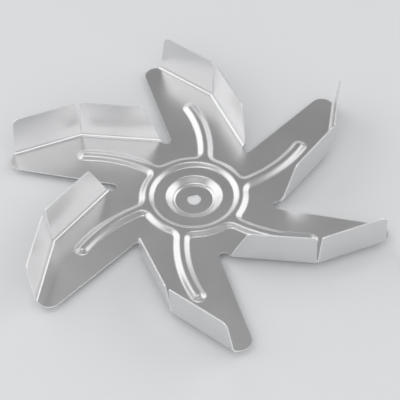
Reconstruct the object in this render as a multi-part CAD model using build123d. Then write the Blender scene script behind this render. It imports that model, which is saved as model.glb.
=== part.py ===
"""Sheet-metal fan impeller: six ribbed blades with folded paddles on a dished hub.

One stamped and folded sheet, millimetres, +Z up along the fan axis.
The origin is where the axis meets the underside of the hub seat.
Blade 0 points along +Y; the other five are its copies, turned by 60 degrees.
"""
import os
from math import acos, asin, atan2, cos, degrees, hypot, radians, sin, tan

from build123d import *

# --- sheet and pattern
sheet = 0.7                       # sheet thickness
blade_count = 6
blade_step = 360 / blade_count
deck_under = 2.35                 # the flat deck's underside, above the hub seat
deck_top = deck_under + sheet     # upper face of the flat deck

# --- blade plan (blade 0, seen from above)
free_edge_angle = 105.0           # the leading edge is a radial line at this angle
tip_y = 86.5                      # tangential end edge of the blade
tip_radius = 5.3                  # rounded outer corner
slot_width = 4.6                  # parallel slot between neighbouring blades
slot_end_radius = 38.0            # radius on which the slot's round end is centred

# --- folds (lines where the paddle's inner face meets the deck's upper face)
fold_start = (-14.05, 86.59)      # at the blade tip
fold_knee = (10.58, 65.59)        # where the fold line turns
fold_end = (24.21, 30.63)         # at the slot
fold_lean = 6.5                   # paddles lean outward from upright
bend_radius = 1.0                 # inside radius of the bends

# --- paddle corners, as (distance along the fold, height up the paddle, corner radius)
outer_top_start = (1.8, 18.85, 3.0)
outer_top_end = (31.6, 18.6, 0)
inner_top_start = (0.4, 18.7, 0)
inner_top_end_height = 18.3
inner_top_end_radius = 2.4        # corner beside the slot
slit_foot = 1.9                   # the V slit between the paddles starts at this height
slit_half_width = 0.25            # from the knee to each side of the slit's foot

# --- raised ring and ribs
bead_height = 1.2
bead_slope = 2.2                  # plan width of each flank
ring_inner = 17.95                # foot of the inner flank
ring_outer = 24.35                # foot of the outer flank
rib_width = 6.7                   # across the feet
rib_arc_centre = (-54.5, 30.0)    # the rib's centre line is an arc about this point
rib_arc_radius = 60.6
rib_start_y = 21.0                # the rib starts inside the ring
rib_end_y = 57.0                  # centre of the rib's rounded end
rib_fillet = 2.0                  # plan radius between rib and ring
crown_rounding = 1.6              # along the crown

# --- dished hub, as upper-face points (radius, drop below the deck)
dish_outside = 17.0               # the dish is made as far out as this radius
dish_points = [(12.5, 0.0), (9.3, 2.0), (8.6, 2.0), (8.0, deck_under)]

# --- D-shaped shaft hole
shaft_hole_radius = 3.05
shaft_flat_distance = 2.4         # from the axis to the flat
shaft_flat_angle = 105.0          # direction of the flat's outward normal

reach = 120.0                     # longer than anything here, for cutting tools
overlap = 1.0                     # how far joined pieces run into each other


def turned(point, angle):
    """A plan point turned about the axis by an angle in degrees."""
    c, s = cos(radians(angle)), sin(radians(angle))
    return (c * point[0] - s * point[1], s * point[0] + c * point[1])


def moved(point, direction, distance):
    """A plan point moved along a unit direction."""
    return (point[0] + direction[0] * distance, point[1] + direction[1] * distance)


def along(start, end):
    """Unit vector from start to end, and the distance between them."""
    dx, dy = end[0] - start[0], end[1] - start[1]
    size = hypot(dx, dy)
    return (dx / size, dy / size), size


def crossing(p, d, q, e):
    """Where the line through p along d meets the line through q along e."""
    k = ((q[0] - p[0]) * e[1] - (q[1] - p[1]) * e[0]) / (d[0] * e[1] - d[1] * e[0])
    return moved(p, d, k)


def rounded_edges(corners):
    """Closed outline through (x, y, radius) corners, each rounded by its arc."""
    trimmed = []
    for i, (x, y, r) in enumerate(corners):
        if r == 0:
            trimmed.append(((x, y), None, (x, y)))
            continue
        a, _ = along((x, y), corners[i - 1][:2])
        b, _ = along((x, y), corners[(i + 1) % len(corners)][:2])
        half = acos(a[0] * b[0] + a[1] * b[1]) / 2
        cut = r / tan(half)
        inward, _ = along((0, 0), (a[0] + b[0], a[1] + b[1]))
        trimmed.append((
            moved((x, y), a, cut),
            moved((x, y), inward, r / sin(half) - r),
            moved((x, y), b, cut),
        ))
    edges = []
    for i, (first, middle, last) in enumerate(trimmed):
        if middle:
            edges.append(ThreePointArc(first, middle, last))
        edges.append(Line(last, trimmed[(i + 1) % len(trimmed)][0]))
    return edges


def rounded_face(corners):
    """Flat face inside a closed outline with rounded corners."""
    return make_face(rounded_edges(corners))


# --- derived directions and lengths
free_dir = turned((1, 0), free_edge_angle)
slot_radius = slot_width / 2
slot_end_angle = free_edge_angle + degrees(asin(slot_radius / slot_end_radius))
outer_dir, outer_length = along(fold_start, fold_knee)
inner_dir, _ = along(fold_knee, fold_end)
outer_normal = (-outer_dir[1], outer_dir[0])
inner_normal = (-inner_dir[1], inner_dir[0])
bend_setback = bend_radius * tan(radians((90 - fold_lean) / 2))
mitre_dir, _ = along((0, 0), (outer_dir[0] + inner_dir[0], outer_dir[1] + inner_dir[1]))

# the slot on the folded side of the blade, one step clockwise
next_dir = turned(free_dir, -blade_step)
slot_side = moved((0, 0), turned(next_dir, 90), slot_width)
inner_length = along(fold_knee, crossing(fold_knee, inner_dir, slot_side, next_dir))[1]
slot_skew = tan(
    atan2(next_dir[1], next_dir[0]) - atan2(inner_normal[1], inner_normal[0])
)

# the bead's underside is its upper side shifted by the sheet, square to the flanks
bead_flank = atan2(bead_height, bead_slope)
bead_inset = sheet * tan(bead_flank / 2)


def six(shape):
    """The shape with its five copies about the axis."""
    return [Rot(0, 0, i * blade_step) * shape for i in range(blade_count)]


def blade_plan():
    """Flat outline of one blade's deck, from the axis to the bend lines."""
    outer_start = moved(fold_start, outer_normal, -bend_setback)
    inner_start = moved(fold_knee, inner_normal, -bend_setback)
    tip_corner = crossing((0, 0), free_dir, (0, tip_y), (1, 0))
    fold_corner = crossing(outer_start, outer_dir, (0, tip_y), (1, 0))
    knee = crossing(outer_start, outer_dir, inner_start, inner_dir)
    end = crossing(inner_start, inner_dir, slot_side, next_dir)
    root = moved(slot_side, next_dir, slot_width)
    return rounded_face([
        (0, 0, 0), (*tip_corner, tip_radius), (*fold_corner, 0),
        (*knee, 0), (*end, 0), (*root, 0),
    ])


def slot_plan():
    """The round inner end of the slot beside the free edge."""
    centre = turned((slot_end_radius, 0), slot_end_angle)
    straight = Rot(0, 0, free_edge_angle) * Rectangle(slot_width, slot_width)
    return Pos(*centre) * Circle(slot_radius) + Pos(
        *moved(centre, free_dir, slot_radius)
    ) * straight


def rib_plan(inset):
    """Outline of one rib at a given inset from its foot, ending inside the ring."""
    half = rib_width / 2 - inset
    start = degrees(asin((rib_start_y - rib_arc_centre[1]) / rib_arc_radius))
    end = degrees(asin((rib_end_y - rib_arc_centre[1]) / rib_arc_radius))
    wedge = make_face([
        Line((0, 0), turned((reach, 0), start)),
        Line(turned((reach, 0), start), turned((reach, 0), end)),
        Line(turned((reach, 0), end), (0, 0)),
    ])
    rib = (Circle(rib_arc_radius + half) - Circle(rib_arc_radius - half)) & wedge
    rib += Pos(*turned((rib_arc_radius, 0), end)) * Circle(half)
    return Pos(*rib_arc_centre) * rib


def star_plan(inset):
    """Outline of the raised ring with its six ribs at a given inset from its foot."""
    star = Circle(ring_outer - inset)
    for rib in six(rib_plan(inset)):
        star += rib
    corners = [
        v for v in star.vertices() if abs(hypot(v.X, v.Y) - ring_outer + inset) < 0.01
    ]
    return fillet(corners, rib_fillet + inset)


def bead(foot_inset, base):
    """The raised ring and ribs as a solid standing on the given level."""
    crown_level = base + bead_height
    foot = Pos(0, 0, base) * star_plan(foot_inset)
    crown = Pos(0, 0, crown_level) * star_plan(foot_inset + bead_slope)
    inner = ring_inner + foot_inset
    recess = make_face(Polyline(
        (0, 0, base), (inner, 0, base), (inner + bead_slope, 0, crown_level),
        (0, 0, crown_level), close=True,
    ))
    return loft([foot.face(), crown.face()], ruled=True) - revolve(recess, axis=Axis.Z)


def crown_edges(ridge):
    """The edges round the flat top of the bead."""
    level = ridge.bounding_box().max.Z - 1e-4
    return [e for e in ridge.edges() if e.bounding_box().min.Z > level]


def beaded_deck():
    """Slotted deck with the raised ring and ribs, hollow beneath by one sheet."""
    plan = Circle(slot_end_radius)
    for blade in six(blade_plan()):
        plan += blade
    for slot in six(slot_plan()):
        plan -= slot
    plan = Pos(0, 0, deck_under) * plan
    column = extrude(plan, amount=sheet + bead_height + overlap)
    ridge = bead(0, deck_top)
    ridge = fillet(crown_edges(ridge), crown_rounding) & column
    return extrude(plan, amount=sheet) + ridge - bead(bead_inset, deck_under)


def dish_section():
    """Half section of the dished hub; the lower face is the upper one shifted."""
    outline = [(dish_outside, deck_top)]
    outline += [(r, deck_top - drop) for r, drop in dish_points]
    outline += [(0, outline[-1][1])]
    sides = []
    for p, q in zip(outline, outline[1:]):
        direction, _ = along(p, q)
        sides.append((moved(p, turned(direction, 90), sheet), direction))
    lower = [crossing(*a, *b) for a, b in zip(sides, sides[1:])]
    lower = [(dish_outside, deck_under)] + lower + [(0, 0)]
    return make_face(Polyline(*[(x, 0, z) for x, z in outline + lower[::-1]], close=True))


def dished(deck):
    """The deck with its middle replaced by the dished hub."""
    middle = Pos(0, 0, deck_under) * Cylinder(dish_outside, 2 * sheet + overlap)
    return deck - middle + revolve(dish_section(), axis=Axis.Z)


def fold_frame(start, direction, normal):
    """Plane of a paddle's inner face: x along the fold, y up the paddle, z inward."""
    lean = radians(fold_lean)
    return Plane(
        origin=(*start, deck_top),
        x_dir=(*direction, 0),
        z_dir=(-normal[0] * cos(lean), -normal[1] * cos(lean), sin(lean)),
    )


def bend(start, direction, normal, first, last):
    """The bent strip of sheet along a fold, between two distances from its start."""
    def at(radius, angle):
        x, y = turned((radius, 0), angle)
        return (x - bend_setback, y + bend_radius)

    low, high, middle = -90, -fold_lean, -(90 + fold_lean) / 2
    inner, outer = bend_radius, bend_radius + sheet
    section = make_face([
        ThreePointArc(at(inner, low), at(inner, middle), at(inner, high)),
        Line(at(inner, high), at(outer, high)),
        ThreePointArc(at(outer, high), at(outer, middle), at(outer, low)),
        Line(at(outer, low), at(inner, low)),
    ])
    place = Plane(
        origin=(*moved(start, direction, first), deck_top),
        x_dir=(*normal, 0),
        z_dir=(*direction, 0),
    )
    return extrude(place * section, amount=last - first)


def kept_side(solid, point, away):
    """The part of a solid on the near side of a plane, dropping what lies away."""
    return split(solid, bisect_by=Plane(origin=point, z_dir=away), keep=Keep.BOTTOM)


def outer_paddle():
    """The paddle from the blade tip to the knee, with its bend."""
    frame = fold_frame(fold_start, outer_dir, outer_normal)
    side = outer_top_start[0] / outer_top_start[1]
    wall = rounded_face([
        (side * bend_setback, bend_setback, 0),
        outer_top_start,
        outer_top_end,
        (outer_length - slit_half_width, slit_foot, 0),
        (outer_length + overlap, slit_foot, 0),
        (outer_length + overlap, bend_setback, 0),
    ])
    strip = bend(fold_start, outer_dir, outer_normal, -overlap, outer_length + overlap)
    away = frame.from_local_coords(Vector(-1, side, 0)) - frame.origin
    # the strip also runs on past the paddle, as far as the blade's end edge
    corner = bend(fold_start, outer_dir, outer_normal, -2 * bend_setback, overlap / 2)
    solid = extrude(frame * wall, amount=-sheet)
    solid += kept_side(strip, frame.origin, away)
    solid += kept_side(corner, (0, tip_y, 0), (0, 1, 0))
    return kept_side(solid, (*fold_knee, 0), (*mitre_dir, 0))


def inner_paddle():
    """The paddle from the knee to the slot, with its bend."""
    frame = fold_frame(fold_knee, inner_dir, inner_normal)
    wall = rounded_face([
        (-overlap, bend_setback, 0),
        (-overlap, slit_foot, 0),
        (slit_half_width, slit_foot, 0),
        inner_top_start,
        (inner_length - slot_skew * inner_top_end_height, inner_top_end_height,
         inner_top_end_radius),
        (inner_length - slot_skew * bend_setback, bend_setback, 0),
    ])
    strip = bend(fold_knee, inner_dir, inner_normal, -overlap, inner_length + overlap)
    foot = frame.from_local_coords(Vector(inner_length, 0, 0))
    away = frame.from_local_coords(Vector(1, slot_skew, 0)) - frame.origin
    solid = extrude(frame * wall, amount=-sheet) + kept_side(strip, foot, away)
    return kept_side(solid, (*fold_knee, 0), (-mitre_dir[0], -mitre_dir[1], 0))


def shaft_hole():
    """The D-shaped hole through the seat."""
    beyond = Pos(shaft_flat_distance + shaft_hole_radius, 0) * Rectangle(
        2 * shaft_hole_radius, 3 * shaft_hole_radius
    )
    plan = Rot(0, 0, shaft_flat_angle) * (Circle(shaft_hole_radius) - beyond)
    return extrude(Pos(0, 0, -sheet) * plan, amount=3 * sheet)


def impeller():
    """The whole wheel as one solid."""
    wheel = dished(beaded_deck())
    for pair in six(outer_paddle() + inner_paddle()):
        wheel += pair
    return wheel - shaft_hole()


os.makedirs("parts", exist_ok=True)
export_step(impeller(), "parts/impeller.step")
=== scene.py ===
"""A stamped steel fan wheel on a pale studio floor.

Lengths inside the shape functions are millimetres, +Z up along the fan axis, and blade 0
points along +Y. The wheel is one sheet: its upper face is worked out here as a grid of
points, and modifiers give it its thickness and break its sheared edges.
"""
from types import SimpleNamespace

import bmesh
import bpy
import numpy as np
from bpy.props import FloatProperty, FloatVectorProperty, PointerProperty
from mathutils import Matrix, Vector


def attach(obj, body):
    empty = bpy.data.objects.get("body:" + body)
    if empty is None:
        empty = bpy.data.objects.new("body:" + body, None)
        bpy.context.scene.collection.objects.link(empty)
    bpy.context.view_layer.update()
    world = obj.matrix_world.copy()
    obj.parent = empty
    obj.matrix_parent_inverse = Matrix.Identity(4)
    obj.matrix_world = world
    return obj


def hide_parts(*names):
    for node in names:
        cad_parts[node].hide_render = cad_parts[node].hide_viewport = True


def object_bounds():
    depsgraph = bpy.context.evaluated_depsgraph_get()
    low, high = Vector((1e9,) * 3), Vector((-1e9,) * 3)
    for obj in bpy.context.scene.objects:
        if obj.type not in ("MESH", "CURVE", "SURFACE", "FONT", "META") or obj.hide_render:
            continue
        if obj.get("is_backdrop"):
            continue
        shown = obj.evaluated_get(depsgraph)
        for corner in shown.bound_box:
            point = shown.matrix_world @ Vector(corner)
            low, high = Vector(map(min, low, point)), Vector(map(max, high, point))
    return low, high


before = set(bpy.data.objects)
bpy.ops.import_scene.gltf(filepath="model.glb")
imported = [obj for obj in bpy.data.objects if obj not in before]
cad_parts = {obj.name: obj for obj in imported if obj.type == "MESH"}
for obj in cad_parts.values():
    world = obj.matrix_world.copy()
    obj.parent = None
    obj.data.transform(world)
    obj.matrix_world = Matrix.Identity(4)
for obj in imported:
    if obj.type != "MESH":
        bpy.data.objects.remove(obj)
cad_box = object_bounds()

bl_info = {
    "name": "Stamped fan wheel",
    "version": (1, 0, 0),
    "blender": (4, 5, 0),
    "location": "3D View > Sidebar > Fan wheel",
    "description": "Builds a ribbed sheet-metal fan wheel with folded paddles",
    "category": "Object",
}

MM = 0.001                        # a millimetre in metres
BLADES = 6


# ---------------------------------------------------------------- settings

def length(name, description, millimetres):
    """A length property whose default is given in millimetres."""
    return FloatProperty(
        name=name, description=description, default=millimetres * MM, unit="LENGTH",
        precision=5,
    )


class WheelSizes(bpy.types.PropertyGroup):
    """Sizes of the pressing."""

    sheet: length("Sheet", "Thickness of the steel sheet", 0.7)
    deck_top: length("Deck height", "Upper face of the flat deck above the hub seat", 3.05)
    bead_height: length("Bead height", "Height of the raised ring and ribs", 1.2)
    bead_slope: length("Bead slope", "Plan width of the bead's flanks", 2.2)
    ring_inner: length("Ring inside", "Radius of the ring's inner foot", 17.95)
    ring_outer: length("Ring outside", "Radius of the ring's outer foot", 24.35)
    rib_width: length("Rib width", "Width of a rib across its feet", 6.7)
    rib_fillet: length("Rib fillet", "Plan radius where a rib meets the ring", 2.0)
    tip_radius: length("Tip radius", "Rounding of the blade's outer corner", 5.3)
    bend_radius: length("Bend radius", "Inside radius of the folds", 1.6)
    slit_foot: length("Slit foot", "Height at which the slit between paddles starts", 1.9)
    edge_break: length("Edge break", "Rounding left on the sheared edges", 0.24)
    lean: FloatProperty(
        name="Lean", description="How far the paddles lean outward from upright",
        default=np.radians(6.5), subtype="ANGLE",
    )


class SteelLook(bpy.types.PropertyGroup):
    """Colour and finish of the steel."""

    colour: FloatVectorProperty(
        name="Colour", description="Colour of the rolled faces", subtype="COLOR",
        size=3, default=(0.78, 0.78, 0.785), min=0, max=1,
    )
    # The sheared edges' colour, raised above the rolled faces' to paint a highlight along
    # them
    edge_colour_painted_highlight: FloatVectorProperty(
        name="Edge colour", description="Colour of the sheared edges", subtype="COLOR",
        size=3, default=(0.95, 0.95, 0.955), min=0, max=1,
    )
    roughness: FloatProperty(
        name="Roughness", description="Roughness of the rolled faces", default=0.3,
        min=0, max=1, subtype="FACTOR",
    )


class StudioLook(bpy.types.PropertyGroup):
    """Floor and lamps."""

    floor_colour: FloatVectorProperty(
        name="Floor", description="Colour of the floor", subtype="COLOR",
        size=3, default=(0.78, 0.79, 0.8), min=0, max=1,
    )
    front_power: FloatProperty(
        name="Front lamp", description="Power of the wide soft lamp in front", default=8.3,
        unit="POWER",
    )
    side_power: FloatProperty(
        name="Side lamps", default=5.15, unit="POWER",
        description="Power of the left soft lamp, of which the right one takes two thirds",
    )
    top_power: FloatProperty(
        name="Top lamp", description="Power of the narrow soft lamp overhead", default=0.8,
        unit="POWER",
    )
    far_power: FloatProperty(
        name="Far lamp", description="Power of the low strip lamp behind", default=0.85,
        unit="POWER",
    )


# ---------------------------------------------------------------- plan geometry

FREE_EDGE = np.radians(105.0)     # direction of a blade's straight radial edge
STEP = np.radians(60.0)           # from one blade to the next
TIP_Y = 86.5                      # the blade's end edge
SLOT_WIDTH = 4.6                  # between a blade's fold and the next one's free edge
SLOT_END_RADIUS = 38.0            # from the axis to the centre of the slot's round end
FOLD_START = np.array([-14.05, 86.59])    # the two fold lines run from the blade's tip
FOLD_KNEE = np.array([10.58, 65.59])      # by way of the knee
FOLD_END = np.array([24.21, 30.63])       # towards this point, as far as the slot
RIB_CENTRE = np.array([-54.5, 30.0])      # the rib follows an arc about this point
RIB_RADIUS = 60.6
RIB_START_Y = 21.0
RIB_END_Y = 57.0
BEAD_ROUNDING = (2.2, 2.6)        # radii at the foot and the crown of the ring and ribs
DISH = [                          # (radius, depth, rounding) from the deck to the seat
    (12.7, 0.0, 1.8), (9.8, 1.74, 1.2), (9.3, 1.85, 0.8), (8.4, 2.35, 0.6),
]
HOLE_RADIUS = 3.05
HOLE_FLAT = 2.4                   # from the axis to the D-shaped hole's flat
HOLE_ANGLE = np.radians(105.0)    # direction of the flat


def unit(angle):
    """Unit plan vectors at the given angles: their cosine and sine."""
    return np.stack([np.cos(angle), np.sin(angle)], -1)


def spun(points, angle):
    """Plan points turned about the axis by an angle, a product with its rotation matrix."""
    c, s = np.cos(angle), np.sin(angle)
    return points @ np.array([[c, s], [-s, c]])


def crossing(p, d, q, e):
    """Where the line through p along d meets the line through q along e.

    It is p plus d times the cross product of q - p and e over that of d and e.
    """
    k = ((q[0] - p[0]) * e[1] - (q[1] - p[1]) * e[0]) / (d[0] * e[1] - d[1] * e[0])
    return p + d * k


def towards(start, end):
    """Unit vector from start to end, their difference over its length."""
    return (end - start) / np.linalg.norm(end - start)


def left_of(d):
    """The vector turned a quarter to the left."""
    return np.array([-d[1], d[0]])


def ease(start, stop, cells):
    """Points at even steps on the line from start to stop, without the start."""
    return start + (stop - start) * np.arange(1, cells + 1)[:, None] / cells


def arc(centre, radius, first, last, cells):
    """Points at even steps of angle on an arc, centre plus radius, without the first."""
    return centre + radius * unit(first + (last - first) * np.arange(1, cells + 1) / cells)


def corner_arc(corner, a, b, radius, cells):
    """A corner rounded from its side along a to its side along b, both ends included.

    The centre lies on the corner's bisector at the radius over the sine of half its
    angle, and the arc touches each side at the radius over that half angle's tangent.
    """
    half = np.arccos(a @ b) / 2
    centre = corner + towards(np.zeros(2), a + b) * radius / np.sin(half)
    first = corner + a * radius / np.tan(half) - centre
    last = corner + b * radius / np.tan(half) - centre
    start = np.arctan2(first[1], first[0])
    turn = (np.arctan2(last[1], last[0]) - start + np.pi) % (2 * np.pi) - np.pi
    return centre + radius * unit(start + turn * np.linspace(0, 1, cells + 1))


FREE = unit(FREE_EDGE)
NEXT = unit(FREE_EDGE - STEP)     # the next blade's free edge
SLOT_HALF = SLOT_WIDTH / 2
SLOT_TURN = np.arcsin(SLOT_HALF / SLOT_END_RADIUS)          # from the edge to the centre
SLOT_CENTRE = SLOT_END_RADIUS * unit(FREE_EDGE + SLOT_TURN)
SLOT_POINT = SLOT_CENTRE - FREE * SLOT_HALF                 # the slot's innermost point
SIDE_ANGLE = np.arctan2(SLOT_POINT[1], SLOT_POINT[0])       # a sector starts at this angle
END_EDGE = (np.array([0, TIP_Y]), np.array([1.0, 0.0]))     # lines: a point, a direction
SLOT_SIDE = (left_of(NEXT) * SLOT_WIDTH, NEXT)
OUTER = towards(FOLD_START, FOLD_KNEE)                      # along the two folds
INNER = towards(FOLD_KNEE, FOLD_END)
OUTER_OUT, INNER_OUT = left_of(OUTER), left_of(INNER)       # off the blade, across them
OUTER_LENGTH = np.linalg.norm(FOLD_KNEE - FOLD_START)
INNER_LENGTH = np.linalg.norm(crossing(FOLD_KNEE, INNER, *SLOT_SIDE) - FOLD_KNEE)
HALF_TURN = np.tan(np.arccos(OUTER @ INNER) / 2)            # the knee's, as a tangent
# how far the slot's side runs along the inner fold for each unit outward
SKEW = (INNER_OUT[0] * NEXT[1] - INNER_OUT[1] * NEXT[0]) / (INNER_OUT @ NEXT)


# ---------------------------------------------------------------- heights

def blended_ramp(t, rise, run, foot, crown):
    """A ramp that starts at t = 0, its two corners replaced by parabolas.

    Each corner of the straight ramp gives way to a parabola that touches both sides at
    the same distance from it: foot or crown times half the ramp's angle.
    """
    slope = rise / run
    a = foot * np.tan(np.arctan(slope) / 2)
    b = crown * np.tan(np.arctan(slope) / 2)
    line = np.clip(t * slope, 0, rise)
    low = slope * (t + a) ** 2 / (4 * a)
    high = rise - slope * (run + b - t) ** 2 / (4 * b)
    return np.where(abs(t) < a, low, np.where(abs(t - run) < b, high, line))


def broken_line(r, points):
    """Depth of a profile of straight pieces, each corner a parabola of its own radius.

    Points are (radius, depth, rounding) from the outside in; the depth is level outside
    the first and inside the last. It is the sum over the points of the change of slope
    there times the distance inward of it, where that distance starts as a parabola.
    """
    depth = np.zeros_like(r)
    slopes = [0.0]
    for (r0, d0, _), (r1, d1, _) in zip(points, points[1:]):
        slopes.append((d1 - d0) / (r0 - r1))
    slopes.append(0.0)
    for (knot, _, rounding), before, after in zip(points, slopes, slopes[1:]):
        bend = abs(np.arctan(after) - np.arctan(before))
        a = rounding * np.tan(bend / 2)
        t = np.clip(knot - r, -a, None)
        depth += (after - before) * np.where(t < a, (t + a) ** 2 / (4 * a), t)
    return depth


def upper_face(xy, size):
    """Height of the sheet's upper face over blade 0's sector.

    The bead is a ramp of the distance inside its outline. The outline is the ring joined
    to the rib, a capsule about an arc, with a fillet: where both distances d and e are
    below the fillet's radius, the joined distance is radius - |(radius - d, radius - e)|.
    The ring's inner flank is a second ramp, and the lower of the two counts.
    """
    r = np.hypot(xy[..., 0], xy[..., 1])
    ring = r - size.ring_outer
    v = xy - RIB_CENTRE
    angle = np.arctan2(v[..., 1], v[..., 0])
    first = np.arcsin((RIB_START_Y - RIB_CENTRE[1]) / RIB_RADIUS)
    last = np.arcsin((RIB_END_Y - RIB_CENTRE[1]) / RIB_RADIUS)
    nearest = RIB_CENTRE + RIB_RADIUS * unit(np.clip(angle, first, last))
    rib = np.linalg.norm(xy - nearest, axis=-1) - size.rib_width / 2
    rho = size.rib_fillet
    joined = np.maximum(np.minimum(ring, rib), rho) - np.hypot(
        np.maximum(rho - ring, 0), np.maximum(rho - rib, 0)
    )
    ramp = (size.bead_height, size.bead_slope, *BEAD_ROUNDING)
    outer = blended_ramp(-joined, *ramp)
    inner = blended_ramp(r - size.ring_inner, *ramp)
    return size.deck_top + np.minimum(outer, inner) - broken_line(r, DISH)


# ---------------------------------------------------------------- the sector's grid

# distances of grid lines from the rib's centre line
RIB_OFFSETS = np.array([
    0, 0.42, 0.8, 1.12, 1.42, 1.78, 2.16, 2.54, 2.88, 3.2, 3.55, 3.95, 4.45, 5.1, 5.9,
])
STRIP = RIB_OFFSETS[-1]
STRIP_SHARE = 0.62                # the most of the room beside the rib that its strip takes
SIDE_CELLS = 7                    # cells between the rib's strip and each side
ACROSS = 2 * (len(RIB_OFFSETS) - 1 + SIDE_CELLS)

# radii of the hub's grid lines, from beyond the hole to the blade's foot, which is where
# the round grid hands over to the blade's; the first few bend to the hole's shape
BLADE_FOOT = 30.0
HOLE_RINGS = 3
HUB_RADII = np.array([
    4.1, 5.6, 7.2, 8.0, 8.25, 8.4, 8.55, 8.75, 9.0, 9.2, 9.3, 9.4, 9.6, 9.8, 10.0,
    10.4, 11.1, 11.8, 12.2, 12.45, 12.7, 12.95, 13.2, 14.2, 16.0, 17.2, 17.7, 17.95,
    18.25, 18.7, 19.2, 19.65, 19.95, 20.2, 20.45, 20.8, 21.2, 21.6, 21.95, 22.2, 22.45,
    22.8, 23.2, 23.65, 24.05, 24.35, 24.65, 25.0, 25.5, 26.1, 26.8, 27.6, 28.6,
    BLADE_FOOT,
])
RIB_ROOT = 22.0                   # inside this radius the hub's columns are radial
HOLE_NEAR = 0.04                  # a column this close in angle moves to the flat's corner

# rows of cells between the blade's stations: its foot, the slot's inner point, the fold's
# end, the rib's end, the knee, beyond the rib, the tip
ROWS = [5, 5, 24, 11, 6, 24]
FOLD_END_ROW, KNEE_ROW, TIP_ROW = sum(ROWS[:2]), sum(ROWS[:4]), sum(ROWS)
# where the stations' rows meet the rib's centre line (y, all but the tip), the free edge
# (radius, from the rib's end to beyond the rib) and the folds (distance from the knee)
CENTRE_STOPS = [29.375, 32.4, 35.3, 54.5, 59.44, 62.0]
FREE_EDGE_STOPS = [50.0, 55.0, 57.8]
RIB_END_STOP, BEYOND_STOP = 5.9, 2.9
NEAR_KNEE = 0.3                   # the cells beside the knee are this long
TIP_CELLS = 6                     # cells in each half of the tip's rounded corner
TIP_ROWS = 14                     # rows that lean towards the line of the end edge
CENTRE_SHORT = 0.3                # the centre line stops this far short of the end edge
RUN_ON = 16.0                     # along the rib's tangent to the parabola's middle point
SAMPLES = 200                     # points of a curve that is read by interpolation
BEND_CELLS, SHARED_CELLS, WALL_CELLS = 6, 2, 6
UP = BEND_CELLS + SHARED_CELLS + WALL_CELLS


def rib_point(y):
    """Point of the rib's centre line, a circle, at the given y."""
    x = RIB_CENTRE[0] + np.sqrt(RIB_RADIUS ** 2 - (y - RIB_CENTRE[1]) ** 2)
    return np.stack([x, y], -1)


def strip_angles(r):
    """Angles of the grid's columns at the given radii, densest about the rib.

    The columns of the rib's strip stand at the rib's own angle less their set offsets
    over the radius, and the others at even steps from there to the sector's sides.
    """
    crest = rib_point(np.linspace(RIB_START_Y - 1, BLADE_FOOT + 2, SAMPLES))
    rib = np.interp(r, np.hypot(*crest.T), np.arctan2(crest[:, 1], crest[:, 0]))[:, None]
    offsets = np.concatenate([RIB_OFFSETS[:0:-1], -RIB_OFFSETS]) / r[:, None]
    middle = rib + offsets
    side = np.arange(SIDE_CELLS) / SIDE_CELLS
    first = SIDE_ANGLE + (middle[:, :1] - SIDE_ANGLE) * side
    last = SIDE_ANGLE - STEP
    last = middle[:, -1:] + (last - middle[:, -1:]) * (side + 1 / SIDE_CELLS)
    return np.concatenate([first, middle, last], 1)


def hub_grid():
    """Plan points of each sector of the hub, rows outward and columns clockwise.

    The first row is the D-shaped hole: the hole's radius, or the flat's distance divided
    by the cosine of the angle from it, whichever is less. The columns nearest the flat's
    corners are moved onto them. The next few rings run in equal shares from the hole to
    the first round one.
    """
    angles = strip_angles(np.maximum(HUB_RADII, RIB_ROOT))
    half = np.arccos(HOLE_FLAT / HOLE_RADIUS)
    share = np.arange(1, HOLE_RINGS + 1)[:, None, None] / (HOLE_RINGS + 1)
    sectors = []
    for turn in np.arange(BLADES) * STEP:
        own = angles[0] + turn
        for corner in (HOLE_ANGLE - half, HOLE_ANGLE + half):
            off = (own - corner + np.pi) % (2 * np.pi) - np.pi
            k = np.argmin(abs(off))
            if abs(off[k]) < HOLE_NEAR:
                own[k] -= off[k]
        # the flat counts only on its own side of the axis, where the cosine is positive
        facing = np.maximum(np.cos(own - HOLE_ANGLE), 0.01)
        rim = np.minimum(HOLE_RADIUS, HOLE_FLAT / facing)[:, None] * unit(own)
        rings = HUB_RADII[:, None, None] * unit(angles + turn)
        rings[:HOLE_RINGS] = rim + (rings[HOLE_RINGS] - rim) * share
        sectors.append(np.concatenate([rim[None], rings]))
    return sectors


class Bends:
    """The bend lines, where the flat deck ends, for a bend radius and a lean.

    They lie inside the fold lines by the radius times the tangent of half the bend.
    """

    def __init__(self, size):
        self.setback = size.bend_radius * np.tan((np.pi / 2 - size.lean) / 2)
        outer = FOLD_START - OUTER_OUT * self.setback
        inner = FOLD_KNEE - INNER_OUT * self.setback
        self.knee = crossing(outer, OUTER, inner, INNER)
        self.end = crossing(inner, INNER, *SLOT_SIDE)
        self.start = crossing(outer, OUTER, *END_EDGE)


def left_side(size):
    """Left boundary of the blade: radial line, quarter of the slot's end, free edge, tip.

    Gives it with the first half of the tip's rounding, and the second half by itself.
    """
    corner = crossing(np.zeros(2), FREE, *END_EDGE)
    tip = corner_arc(corner, -FREE, END_EDGE[1], size.tip_radius, 2 * TIP_CELLS)
    start = SLOT_END_RADIUS * np.cos(SLOT_TURN)
    stations = np.cumsum([0, *ROWS[2:]])
    stations[-1] -= TIP_CELLS
    radii = np.interp(
        np.arange(1, stations[-1] + 1), stations,
        [start, *FREE_EDGE_STOPS, np.linalg.norm(tip[0])],
    )
    side = np.concatenate([
        BLADE_FOOT * unit(SIDE_ANGLE)[None],
        ease(BLADE_FOOT * unit(SIDE_ANGLE), SLOT_POINT, ROWS[0]),
        arc(SLOT_CENTRE, SLOT_HALF, FREE_EDGE + np.pi, FREE_EDGE + 1.5 * np.pi, ROWS[1]),
        radii[:, None] * FREE,
        tip[1:TIP_CELLS + 1],
    ])
    return side, tip[TIP_CELLS:]


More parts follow.
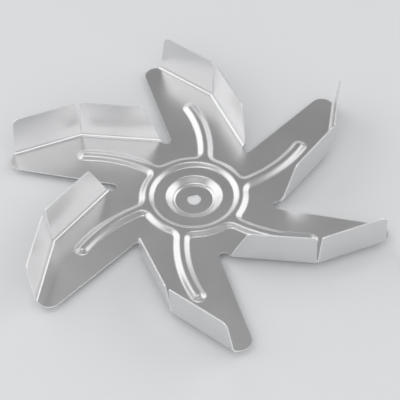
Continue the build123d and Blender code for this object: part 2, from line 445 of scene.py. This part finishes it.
def right_side(bends):
    """Right boundary: radial line, quarter of the slot's end, then the two bend lines."""
    foot = BLADE_FOOT * unit(SIDE_ANGLE - STEP)
    slot = spun(SLOT_POINT, -STEP)
    angle = FREE_EDGE - STEP
    round_end = arc(
        spun(SLOT_CENTRE, -STEP), SLOT_HALF, angle + np.pi, angle + np.pi / 2, ROWS[1],
    )
    round_end[-1] = bends.end
    near_inner = bends.knee + INNER * NEAR_KNEE
    rib_end = bends.knee + INNER * RIB_END_STOP
    near_outer = bends.knee - OUTER * NEAR_KNEE
    beyond = bends.knee - OUTER * BEYOND_STOP
    return np.concatenate([
        foot[None], ease(foot, slot, ROWS[0]), round_end,
        ease(bends.end, rib_end, ROWS[2]),
        ease(rib_end, near_inner, ROWS[3] - 1), bends.knee[None],
        near_outer[None], ease(near_outer, beyond, ROWS[4] - 1),
        ease(beyond, bends.start, ROWS[5]),
    ])


def centre_line(end):
    """Points of the rib's centre line, run on in a parabola to the blade's end.

    The parabola starts along the rib's own tangent. The unit vectors across the line
    are given too.
    """
    crest = rib_point(np.linspace(BLADE_FOOT - 2, RIB_END_Y, SAMPLES))
    control = crest[-1] + towards(crest[-2], crest[-1]) * RUN_ON
    t = np.linspace(0, 1, SAMPLES)[1:, None]
    run_on = crest[-1] * (1 - t) ** 2 + control * 2 * t * (1 - t) + end * t ** 2
    line = np.concatenate([crest, run_on])
    y = np.interp(
        np.arange(TIP_ROW + 1), np.cumsum([0, *ROWS]), [*CENTRE_STOPS, end[1]],
    )
    points = np.stack([np.interp(y, line[:, 1], line[:, 0]), y], -1)
    slope = np.gradient(line[:, 0], line[:, 1])
    slope = np.interp(y, line[:, 1], slope)
    over = np.stack([np.ones_like(slope), -slope], -1)
    return points, over / np.linalg.norm(over, axis=1)[:, None]


def joined_rows(left, inner_left, inner_right, right):
    """Rows of points: even steps to the rib's strip, its set offsets, even steps on."""
    offsets = np.concatenate([-RIB_OFFSETS[:0:-1], RIB_OFFSETS])[:, None] / STRIP
    side = np.arange(SIDE_CELLS)[:, None] / SIDE_CELLS
    left, right = left[:, None], right[:, None]
    inner_left, inner_right = inner_left[:, None], inner_right[:, None]
    return np.concatenate([
        left + (inner_left - left) * side,
        inner_left + (inner_right - inner_left) * (offsets + 1) / 2,
        inner_right + (right - inner_right) * (side + 1 / SIDE_CELLS),
    ], 1)


def blade_grid(size, bends):
    """Plan points of the blade's deck, rows outward and columns clockwise.

    Rows run straight from the left side to the rib's strip, over it and on to the right
    side. What the first row lacks of the round hub's edge, and the last of the blade's
    end edge, is added to it, and in falling shares to the rows beside it.
    """
    left, tip = left_side(size)
    right = right_side(bends)
    top = np.concatenate([tip, bends.start[None]])
    lengths = np.cumsum([0, *np.linalg.norm(np.diff(top, axis=0), axis=1)])
    at = np.linspace(0, lengths[-1], ACROSS + 1)
    top = np.stack([np.interp(at, lengths, top[:, i]) for i in range(2)], -1)
    centre, over = centre_line(top[ACROSS // 2] - [0, CENTRE_SHORT])
    room = np.minimum(
        np.linalg.norm(centre - left, axis=1), np.linalg.norm(right - centre, axis=1)
    )
    width = np.minimum(STRIP, STRIP_SHARE * room)[:, None]
    rows = joined_rows(left, centre - over * width, centre + over * width, right)
    foot = BLADE_FOOT * unit(strip_angles(np.array([BLADE_FOOT]))[0])
    share = np.clip(1 - np.arange(TIP_ROW + 1) / FOLD_END_ROW, 0, 1)[:, None, None]
    rows += share * (foot - rows[0])
    share = np.clip(1 - np.arange(TIP_ROW, -1, -1) / TIP_ROWS, 0, 1)[:, None, None] ** 2
    return rows + share * (top - rows[-1])


# paddle corners, as (distance along the fold, height up the paddle, corner radius)
OUTER_START = (1.8, 18.85, 3.0)
OUTER_END = (31.6, 18.6, 0.8)
INNER_START = (0.4, 18.7, 0.8)
INNER_END_HEIGHT, INNER_END_RADIUS = 18.3, 2.4
WIDE_CELLS, TIGHT_CELLS = 8, 4    # cells round a paddle's wide corner and its tight one
SLIT_HALF = 0.25                  # half the width of the slit between paddles at its foot


def top_edge(first, last, side_a, side_b, cells, ends):
    """Top edge of a paddle between two rounded corners, as (distance, height) points.

    The ends are the numbers of cells round each corner; even steps run between them.
    """
    a, b = np.array(first[:2]), np.array(last[:2])
    start = corner_arc(a, side_a, towards(a, b), first[2], ends[0])
    stop = corner_arc(b, towards(b, a), side_b, last[2], ends[1])
    middle = ease(start[-1], stop[0], cells - sum(ends))
    return np.concatenate([start, middle, stop[1:]])


def shares_along(rows):
    """Each point's distance from the first, over the last one's."""
    lengths = np.linalg.norm(rows - rows[0], axis=1)
    return lengths / lengths[-1]


def paddle(size, setback, shares, low_sides, top, origin, along, out):
    """One paddle's points: rows along its fold, columns up round the bend and the wall.

    In the bend a column's point is the bend's circle at equal steps of angle; on the wall
    it is the leaning plane. low_sides gives both side edges of the strip that reaches the
    slit's foot, and shares the rows' places between them; above it the rows run
    straight to the top edge.
    """
    angle = (np.pi / 2 - size.lean) * np.arange(BEND_CELLS + 1) / BEND_CELLS
    height = ease(setback, size.slit_foot, SHARED_CELLS)[:, 0]
    lean = np.array([np.sin(size.lean), np.cos(size.lean)])
    n = np.concatenate([size.bend_radius * np.sin(angle) - setback, height * lean[0]])
    z = np.concatenate([size.bend_radius * (1 - np.cos(angle)), height * lean[1]])
    first, last = low_sides(n, angle / angle[-1], height)
    s = first + shares[:, None] * (last - first)
    rise = np.arange(1, WALL_CELLS + 1) / WALL_CELLS
    wall_s = s[:, -1:] + (top[:, :1] - s[:, -1:]) * rise
    wall_h = size.slit_foot + (top[:, 1:] - size.slit_foot) * rise
    s = np.concatenate([s, wall_s], 1)
    n = np.concatenate([np.broadcast_to(n, (len(s), len(n))), wall_h * lean[0]], 1)
    z = np.concatenate([np.broadcast_to(z, (len(s), len(z))), wall_h * lean[1]], 1)
    xy = origin + along * s[..., None] + out * n[..., None]
    return np.concatenate([xy, (size.deck_top + z)[..., None]], -1)


def inner_paddle(size, bends, right):
    """The paddle from the slot to the knee.

    In the bend its edge at the slot moves evenly from one side of the fold line to the
    other and its edge at the knee follows the mitre; above it both keep their slopes.
    """
    shares = shares_along(right[FOLD_END_ROW:KNEE_ROW + 1])

    def low_sides(n, bent, height):
        slot = INNER_LENGTH + SKEW * bends.setback * (1 - 2 * bent)
        slot = np.concatenate([slot, INNER_LENGTH - SKEW * height])
        return slot, -n * HALF_TURN

    slot_end = INNER_LENGTH - SKEW * INNER_END_HEIGHT
    slot_corner = (slot_end, INNER_END_HEIGHT, INNER_END_RADIUS)
    slit_foot = np.array([SLIT_HALF, size.slit_foot])
    top = top_edge(
        slot_corner, INNER_START, towards(np.zeros(2), np.array([SKEW, -1.0])),
        towards(np.array(INNER_START[:2]), slit_foot), len(shares) - 2,
        (WIDE_CELLS, TIGHT_CELLS),
    )
    top = np.concatenate([top, top[-1:]])         # the slit cuts the knee's own row off
    return paddle(size, bends.setback, shares, low_sides, top, FOLD_KNEE, INNER, INNER_OUT)


def outer_paddle(size, bends, right):
    """The paddle from the knee to the blade's tip.

    Its edge at the knee follows the mitre, and its edge at the tip goes in the bend from
    the deck's end to a line from the fold's start to the rounded top corner.
    """
    shares = shares_along(right[KNEE_ROW:])
    side = OUTER_START[0] / OUTER_START[1]
    overhang = (bends.start - FOLD_START) @ OUTER

    def low_sides(n, bent, height):
        tip = overhang + (side * bends.setback - overhang) * bent
        tip = np.concatenate([tip, side * height])
        return OUTER_LENGTH + n * HALF_TURN, tip

    slit_foot = np.array([OUTER_LENGTH - SLIT_HALF, size.slit_foot])
    top = top_edge(
        OUTER_END, OUTER_START, towards(np.array(OUTER_END[:2]), slit_foot),
        towards(np.array(OUTER_START[:2]), np.zeros(2)), len(shares) - 2,
        (TIGHT_CELLS, WIDE_CELLS),
    )
    top = np.concatenate([top[:1], top])          # the slit cuts the knee's own row off
    return paddle(size, bends.setback, shares, low_sides, top, FOLD_START, OUTER, OUTER_OUT)


# ---------------------------------------------------------------- meshes

MERGE = 0.002                     # points closer than this are one


def grid_faces(rows, columns, kept=None):
    """Quads over a grid of points, facing up where columns run clockwise."""
    index = np.arange(rows * columns).reshape(rows, columns)
    quads = np.stack(
        [index[:-1, :-1], index[:-1, 1:], index[1:, 1:], index[1:, :-1]], -1
    )
    return quads.reshape(-1, 4) if kept is None else quads[kept]


def wheel_surface(size):
    """Points and quads of the whole upper face, six sectors of hub and blade.

    A blade's grid is its deck with the paddles as more columns, less the cells inside
    the paddles' fold and those of the slit.
    """
    size = in_millimetres(size)
    bends = Bends(size)
    deck = blade_grid(size, bends)
    deck = np.concatenate([deck, upper_face(deck, size)[..., None]], -1)
    right = deck[:, -1, :2]
    walls = np.zeros((TIP_ROW + 1, UP, 3))
    walls[FOLD_END_ROW:KNEE_ROW + 1] = inner_paddle(size, bends, right)[:, 1:]
    walls[KNEE_ROW:] = outer_paddle(size, bends, right)[:, 1:]
    blade = np.concatenate([deck, walls], 1)
    row, column = np.mgrid[0:TIP_ROW, 0:ACROSS + UP]
    beside_knee = (row == KNEE_ROW - 1) | (row == KNEE_ROW)
    slit = (column >= ACROSS + BEND_CELLS + SHARED_CELLS) & beside_knee
    kept = (column < ACROSS) | (row >= FOLD_END_ROW) & ~slit
    points, quads, count = [], [], 0
    for i, hub in enumerate(hub_grid()):
        flat = spun(hub, -i * STEP)
        hub = np.concatenate([hub, upper_face(flat, size)[..., None]], -1)
        turned = np.concatenate([spun(blade[..., :2], i * STEP), blade[..., 2:]], -1)
        for grid, mask in ((hub, None), (turned, kept)):
            points.append(grid.reshape(-1, 3))
            quads.append(grid_faces(*grid.shape[:2], mask) + count)
            count += points[-1].shape[0]
    return np.concatenate(points), np.concatenate(quads)


def in_millimetres(group):
    """The group's lengths in millimetres and its angles as they are."""
    return SimpleNamespace(**{
        name: getattr(group, name) * (1 / MM if prop.unit == "LENGTH" else 1)
        for name, prop in group.bl_rna.properties.items() if prop.type == "FLOAT"
    })


def placed(name, data):
    """A new object with this data, in the scene."""
    thing = bpy.data.objects.new(name, data)
    bpy.context.scene.collection.objects.link(thing)
    return thing


def mesh_object(name, points, quads):
    """A new object with these points and quads as its mesh, no point doubled or loose."""
    mesh = bpy.data.meshes.new(name)
    used, quads = np.unique(quads, return_inverse=True)
    mesh.from_pydata((points[used] * MM).tolist(), [], quads.reshape(-1, 4).tolist())
    work = bmesh.new()
    work.from_mesh(mesh)
    bmesh.ops.remove_doubles(work, verts=work.verts, dist=MERGE * MM)
    work.to_mesh(mesh)
    work.free()
    mesh.shade_smooth()
    return placed(name, mesh)


# ---------------------------------------------------------------- materials

class Value:
    """A number or colour that varies over a surface, as an output of a node."""

    def __init__(self, recipe, socket):
        self.recipe, self.socket = recipe, socket

    def maths(self, operation, *values):
        """The value of a new maths node on these values."""
        inputs = dict(enumerate(values))
        return self.recipe.node("ShaderNodeMath", {"operation": operation}, inputs)

    def __add__(self, other):
        return self.maths("ADD", self, other)

    def __sub__(self, other):
        return self.maths("SUBTRACT", self, other)

    def __rsub__(self, other):
        return self.maths("SUBTRACT", other, self)

    def __mul__(self, other):
        return self.maths("MULTIPLY", self, other)

    __radd__ = __add__
    __rmul__ = __mul__

    def swing(self, width):
        """A noise's distance from its middle, 0.5, times a width."""
        return (self - 0.5) * width


class Recipe:
    """A material's node tree, filled one node at a time."""

    def __init__(self, name):
        self.material = bpy.data.materials.new(name)
        self.material.use_nodes = True
        self.tree = self.material.node_tree
        self.tree.nodes.clear()

    def node(self, kind, settings=None, inputs=None, output=0):
        """A node of this type with its settings, then its inputs' values or links."""
        node = self.tree.nodes.new(kind)
        for name, value in (settings or {}).items():
            setattr(node, name, value)
        for name, value in (inputs or {}).items():
            if isinstance(value, Value):
                self.tree.links.new(value.socket, node.inputs[name])
            else:
                node.inputs[name].default_value = value
        return Value(self, node.outputs[output]) if node.outputs else None

    def noise(self, scale, detail, stretch=(1, 1, 1), roughness=0.5):
        """Noise in the piece's own coordinates, its scale per metre along each axis."""
        place = self.node("ShaderNodeTexCoord", output="Object")
        place = self.node("ShaderNodeMapping", None, {"Vector": place, "Scale": stretch})
        return self.node("ShaderNodeTexNoise", None, {
            "Vector": place, "Scale": scale, "Detail": detail, "Roughness": roughness,
        })

    def tinted(self, colour, tone):
        """A colour multiplied by a tone that varies over the surface."""
        first, second, result = 6, 7, 2   # where the mix node has its sockets for colours
        return self.node(
            "ShaderNodeMix", {"data_type": "RGBA", "blend_type": "MULTIPLY"},
            {"Factor": 1.0, first: (*colour, 1), second: tone}, output=result,
        )

    def surface(self, **inputs):
        """The principled shader that ends the recipe."""
        shader = self.node("ShaderNodeBsdfPrincipled", None, {
            name.replace("_", " ").title(): value for name, value in inputs.items()
        })
        self.node("ShaderNodeOutputMaterial", None, {"Surface": shader})
        return self.material


def rolled_steel(look):
    """Satin steel: very faint rolling grain along X, fine mottle and broad clouds."""
    r = Recipe("rolled_steel")
    grain = r.noise(scale=60, detail=4, stretch=(1, 26, 26), roughness=0.6)
    mottle = r.noise(scale=140, detail=3)
    cloud = r.noise(scale=28, detail=2)
    tone = 1 + grain.swing(0.02) + mottle.swing(0.04) + cloud.swing(0.08)
    colour = r.tinted(look.colour, tone)
    rough = look.roughness + mottle.swing(0.03) + cloud.swing(0.07)
    return r.surface(base_color=colour, metallic=1.0, roughness=rough)


def sheared_edge_painted_highlight(look):
    """Sheared edge, its colour paler than the rolled faces' as a painted highlight,
    streaked up and down by the punch.
    """
    r = Recipe("sheared_edge_painted_highlight")
    streaks = r.noise(scale=900, detail=2, stretch=(1, 1, 0.15))
    # the edge's paleness is painted highlight; the streaks are the shear's own marks
    colour = r.tinted(look.edge_colour_painted_highlight, 1 + streaks.swing(0.3))
    rough = 0.5 + streaks.swing(0.2)
    return r.surface(base_color=colour, metallic=1.0, roughness=rough)


def floor_paint(look):
    """Matt pale floor, faintly clouded."""
    r = Recipe("pale_floor")
    cloud = r.noise(scale=6, detail=2)
    colour = r.tinted(look.floor_colour, 1 + cloud.swing(0.03))
    return r.surface(base_color=colour, roughness=0.7)


# ---------------------------------------------------------------- operators

FLOOR_HALF = 3.0                  # metres
FLOOR_CORNERS = np.array([[-1, -1, 0], [1, -1, 0], [1, 1, 0], [-1, 1, 0]]) * FLOOR_HALF
RIGHT_SHARE = 0.67                # the right lamp's power over the left one's
WORLD_COLOUR = (0.258, 0.259, 0.261, 1)
CAMERA_LENS, CAMERA_SENSOR = 124.762, 36.0            # millimetres
CAMERA_CLIP = (0.01, 20)                              # metres
CAMERA_ELEVATION, CAMERA_ROLL = np.radians(47.2682), np.radians(-2.3209)
DECK_CENTRE = np.array([0, 0, 3.05])                  # millimetres
DECK_IN_VIEW = np.array([-2.703, 1.768, -620.971])    # its place right, up and back


class FANWHEEL_OT_wheel(bpy.types.Operator):
    """Build the pressed and folded wheel in place of its plain solid"""

    bl_idname = "fanwheel.wheel"
    bl_label = "Build wheel"

    def execute(self, context):
        size, look = context.scene.wheel_sizes, context.scene.steel_look
        wheel = mesh_object("folded_wheel", *wheel_surface(size))
        wheel.data.materials.append(rolled_steel(look))
        wheel.data.materials.append(sheared_edge_painted_highlight(look))
        solid = wheel.modifiers.new("thickness", "SOLIDIFY")
        solid.thickness = size.sheet
        solid.offset = -1
        solid.use_even_offset = True
        solid.use_quality_normals = True
        solid.material_offset_rim = 1
        bevel = wheel.modifiers.new("sheared edges", "BEVEL")
        bevel.width = size.edge_break
        bevel.segments = 3
        bevel.limit_method = "ANGLE"
        bevel.angle_limit = np.radians(50)
        bevel.harden_normals = True
        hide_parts("impeller")
        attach(wheel, "root")
        return {"FINISHED"}


class FANWHEEL_OT_studio(bpy.types.Operator):
    """Build the floor, lamps and camera"""

    bl_idname = "fanwheel.studio"
    bl_label = "Build studio"

    def execute(self, context):
        look = context.scene.studio_look
        floor = mesh_object("floor", FLOOR_CORNERS / MM, np.arange(4)[None])
        floor.data.materials.append(floor_paint(look))
        floor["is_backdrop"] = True
        softbox("front", (0.0, -0.84, 0.74), (2.3, 1.1), look.front_power)
        softbox("left", (-0.8, 0.33, 0.6), (1.6, 0.95), look.side_power)
        softbox("right", (0.8, 0.3, 0.64), (1.25, 0.8), look.side_power * RIGHT_SHARE)
        softbox("top", (-0.12, 0.2, 1.1), (0.58, 0.24), look.top_power)
        softbox("far", (0.0, 1.08, 0.22), (1.4, 0.24), look.far_power)
        world = bpy.data.worlds.new("studio")
        world.use_nodes = True
        world.node_tree.nodes["Background"].inputs["Color"].default_value = WORLD_COLOUR
        context.scene.world = world
        context.scene.view_settings.view_transform = "Standard"
        studio_camera()
        return {"FINISHED"}


def softbox(name, place, size, power):
    """A rectangular soft lamp at a place in metres, turned towards the wheel."""
    lamp = bpy.data.lights.new(name, "AREA")
    lamp.shape = "RECTANGLE"
    lamp.size, lamp.size_y = size
    lamp.energy = power
    thing = placed(name, lamp)
    turn = Vector(place).to_track_quat("Z", "Y").to_matrix().to_4x4()
    thing.matrix_world = Matrix.Translation(place) @ turn
    thing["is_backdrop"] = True


def studio_camera():
    """A long-lens camera 47 degrees above the floor, rolled a little.

    The rows of its turn are its right, up and back vectors. Its place is the deck's
    centre less where the deck's centre lies in its view.
    """
    back = np.array([0, -np.cos(CAMERA_ELEVATION), np.sin(CAMERA_ELEVATION)])
    right = np.array([1.0, 0, 0])
    level = np.stack([right, np.cross(back, right), back])
    c, s = np.cos(CAMERA_ROLL), np.sin(CAMERA_ROLL)
    turn = np.array([[c, s, 0], [-s, c, 0], [0, 0, 1]]) @ level
    place = DECK_CENTRE - turn.T @ DECK_IN_VIEW
    data = bpy.data.cameras.new("camera")
    data.lens, data.sensor_width = CAMERA_LENS, CAMERA_SENSOR
    data.clip_start, data.clip_end = CAMERA_CLIP
    camera = placed("camera", data)
    matrix = np.eye(4)
    matrix[:3, :3], matrix[:3, 3] = turn.T, place * MM
    camera.matrix_world = Matrix(matrix.tolist())
    bpy.context.scene.camera = camera


class FANWHEEL_PT_panel(bpy.types.Panel):
    """Sidebar panel with the builders and their settings"""

    bl_idname = "FANWHEEL_PT_panel"
    bl_label = "Fan wheel"
    bl_space_type = "VIEW_3D"
    bl_region_type = "UI"
    bl_category = "Fan wheel"

    def draw(self, context):
        for group, operator in (
            ("wheel_sizes", "fanwheel.wheel"), ("steel_look", None),
            ("studio_look", "fanwheel.studio"),
        ):
            box = self.layout.box()
            settings = getattr(context.scene, group)
            for name in type(settings).__annotations__:
                box.prop(settings, name)
            if operator:
                box.operator(operator)


CLASSES = (
    WheelSizes, SteelLook, StudioLook,
    FANWHEEL_OT_wheel, FANWHEEL_OT_studio, FANWHEEL_PT_panel,
)
GROUPS = {"wheel_sizes": WheelSizes, "steel_look": SteelLook, "studio_look": StudioLook}


def register():
    """Register the classes and hang the settings on the scene."""
    for c in CLASSES:
        bpy.utils.register_class(c)
    for name, group in GROUPS.items():
        setattr(bpy.types.Scene, name, PointerProperty(type=group))


def unregister():
    """Undo register."""
    for name in GROUPS:
        delattr(bpy.types.Scene, name)
    for c in reversed(CLASSES):
        bpy.utils.unregister_class(c)


def main():
    """Build everything."""
    register()
    bpy.ops.fanwheel.wheel()
    bpy.ops.fanwheel.studio()
    boxes = {"cad": cad_box, "visual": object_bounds()}
    boxes = {name: [list(corner) for corner in box] for name, box in boxes.items()}


if __name__ == "__main__":
    main()
